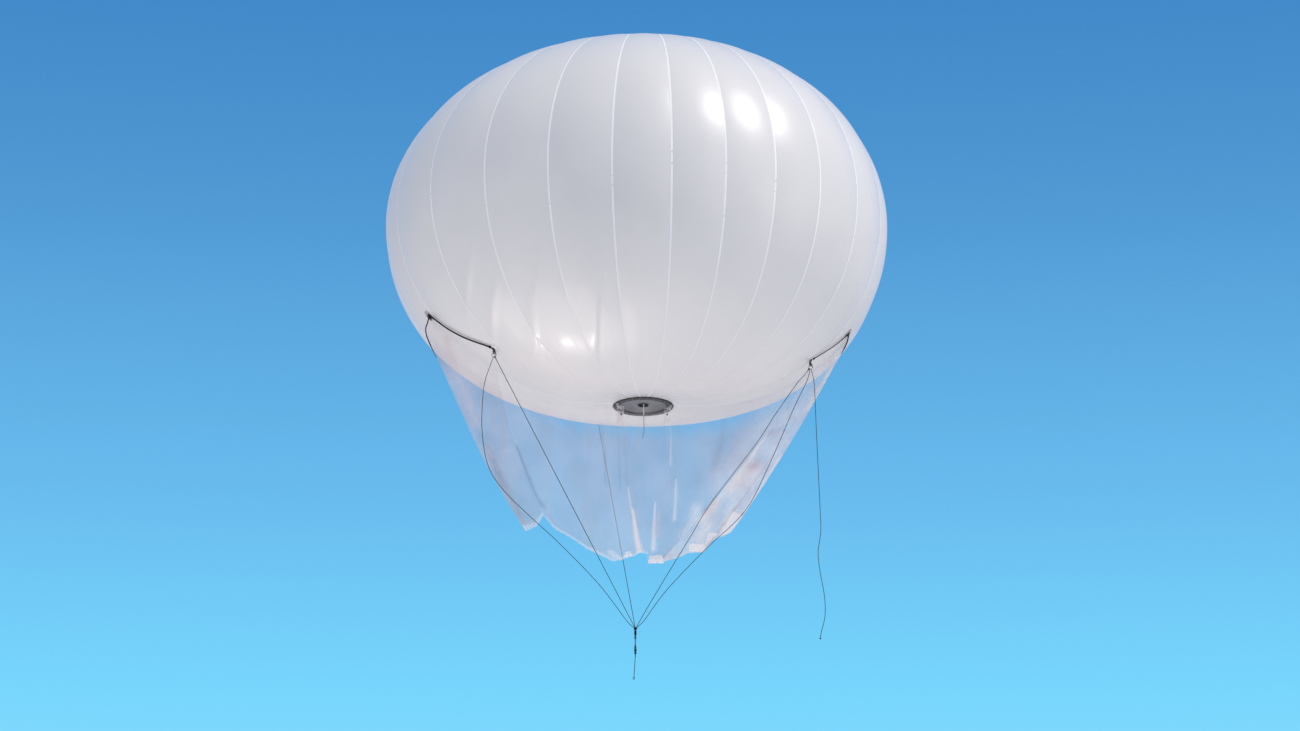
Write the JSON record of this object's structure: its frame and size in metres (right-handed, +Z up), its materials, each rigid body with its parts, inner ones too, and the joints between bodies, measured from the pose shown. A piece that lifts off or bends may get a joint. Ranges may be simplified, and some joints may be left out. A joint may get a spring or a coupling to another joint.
{
  "type": "tethered gas balloon with a drag sail",
  "caption": "Flattened white gas balloon of sewn gores, with a clear film drag sail, bridle lines gathered at a swivel and a short tether end.",
  "frame": {"origin": "middle of the envelope, where its lift acts and where the air holds it up", "axes": "+Z up towards the crown, -Y towards the front, +X to the right as seen from the front"},
  "size_m": [4.9966, 5.0086, 6.4221],
  "materials": {
    "envelope_film": "satin white laminated film",
    "clear_film": "clear glossy film",
    "base_black_plastic": "matt",
    "base_grey_plastic": "matt",
    "white_plastic": "smooth",
    "grey_patch": "coated",
    "black_cord": "braided",
    "grey_cord": "braided",
    "strap_webbing": "woven",
    "ring_steel": "polished",
    "dark_steel": "blackened"
  },
  "bodies": {
    "envelope": {"base_dish": "base_grey_plastic", "base_ring": "base_black_plastic", "bridle_knot": "black_cord", "clip_left": "white_plastic", "clip_right": "white_plastic", "crown_disc": "envelope_film", "fill_tube": "white_plastic", "gore_01": "envelope_film", "gore_02": "envelope_film", "gore_03": "envelope_film", "gore_04": "envelope_film", "gore_05": "envelope_film", "gore_06": "envelope_film", "gore_07": "envelope_film", "gore_08": "envelope_film", "gore_09": "envelope_film", "gore_10": "envelope_film", "gore_11": "envelope_film", "gore_12": "envelope_film", "gore_13": "envelope_film", "gore_14": "envelope_film", "gore_15": "envelope_film", "gore_16": "envelope_film", "gore_17": "envelope_film", "gore_18": "envelope_film", "gore_19": "envelope_film", "gore_20": "envelope_film", "gore_21": "envelope_film", "gore_22": "envelope_film", "gore_23": "envelope_film", "gore_24": "envelope_film", "left_hanger": "dark_steel", "left_link_cord": "black_cord", "left_load_patch": "grey_patch", "left_ring": "ring_steel", "left_ring_patch": "grey_patch", "left_slack_line": "black_cord", "left_taut_line": "black_cord", "port_cup": "base_black_plastic", "rear_line": "black_cord", "rear_load_patch": "grey_patch", "right_hanger": "dark_steel", "right_inner_line": "black_cord", "right_link_cord": "black_cord", "right_load_patch": "grey_patch", "right_outer_line": "black_cord", "right_ring": "ring_steel", "right_ring_patch": "grey_patch", "sail_main": "clear_film", "sail_side_left": "clear_film", "sail_side_right": "clear_film", "spare_knot": "black_cord", "spare_line": "black_cord", "swivel_body": "dark_steel", "valve_cord": "grey_cord"},
    "tether_end": {"swivel_pin": "ring_steel", "swivel_eye": "dark_steel", "link_strap": "strap_webbing", "snap_hook": "dark_steel", "tether_leader": "black_cord"}
  },
  "joints": [
    {"name": "tether_swivel", "type": "hinge", "parent": "envelope", "child": "tether_end", "pos_m": [-0.075, 0, -4.1033], "axis": [0, 0, 1], "continuous": true}
  ]
}
